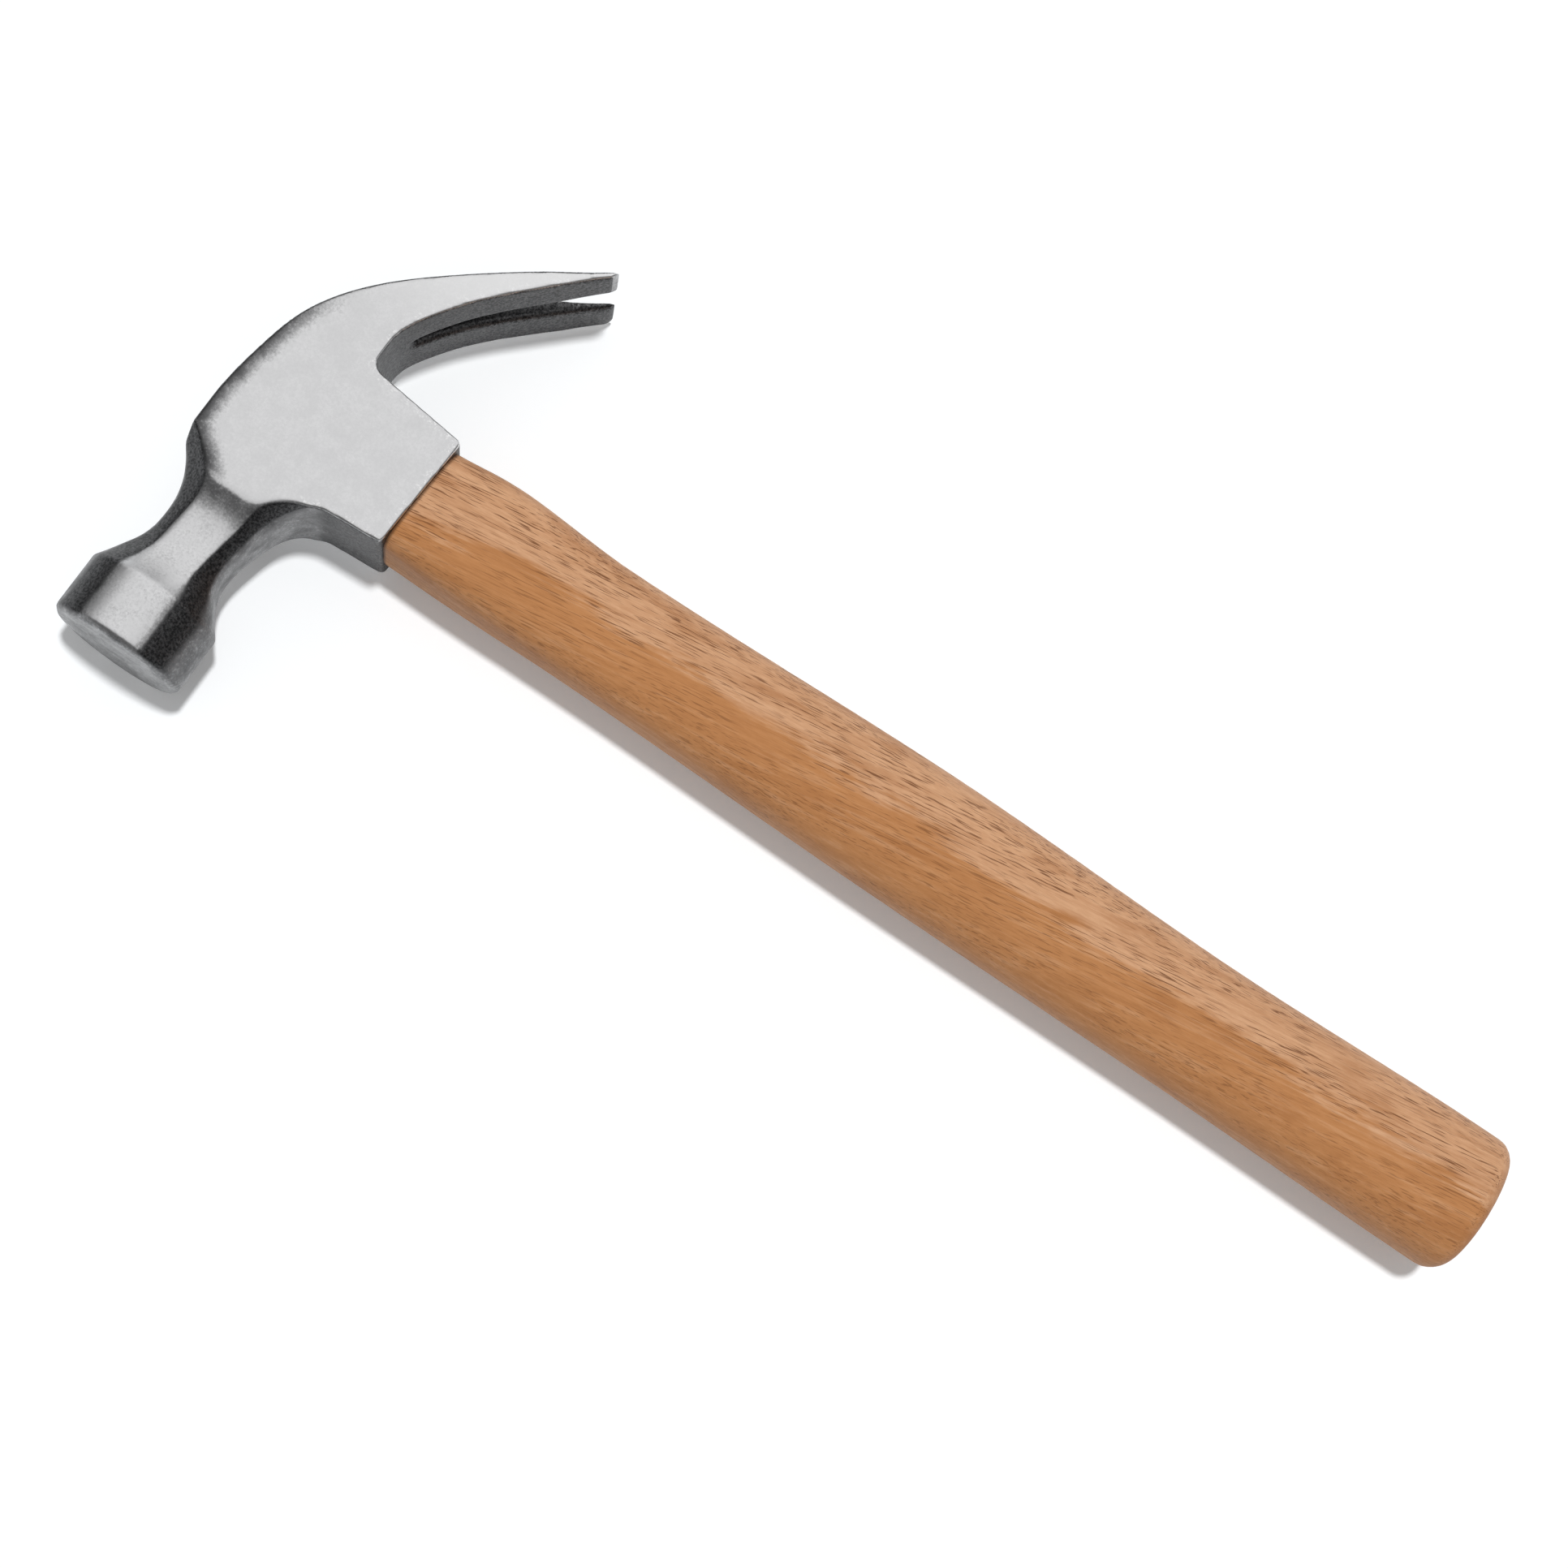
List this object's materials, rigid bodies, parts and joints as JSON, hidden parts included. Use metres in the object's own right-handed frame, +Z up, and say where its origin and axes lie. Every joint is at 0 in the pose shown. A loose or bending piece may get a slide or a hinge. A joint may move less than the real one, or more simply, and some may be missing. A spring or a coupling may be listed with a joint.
{
  "type": "claw hammer",
  "caption": "Curved-claw carpenter's hammer: forged steel head with round poll and split claw, wedged on an oval wooden handle, for driving and pulling nails.",
  "frame": {"origin": "centre of the bottom of the bounding box, with the hammer lying on its side on a surface", "axes": "+X along the handle from the butt to the crown of the head, +Y out of the striking face, +Z up out of the upper cheek"},
  "size_m": [0.328, 0.1308, 0.0316],
  "materials": {
    "head": "forged steel, satin ground cheeks, darker under the claws",
    "handle": "sanded hardwood, thin clear coat",
    "wood_wedge": "sawn pale hardwood",
    "steel_wedge": "plain dark steel"
  },
  "bodies": {
    "root": {"head": "head", "handle": "handle", "wood_wedge": "wood_wedge", "steel_wedge_face_side": "steel_wedge", "steel_wedge_claw_side": "steel_wedge"}
  },
  "joints": []
}
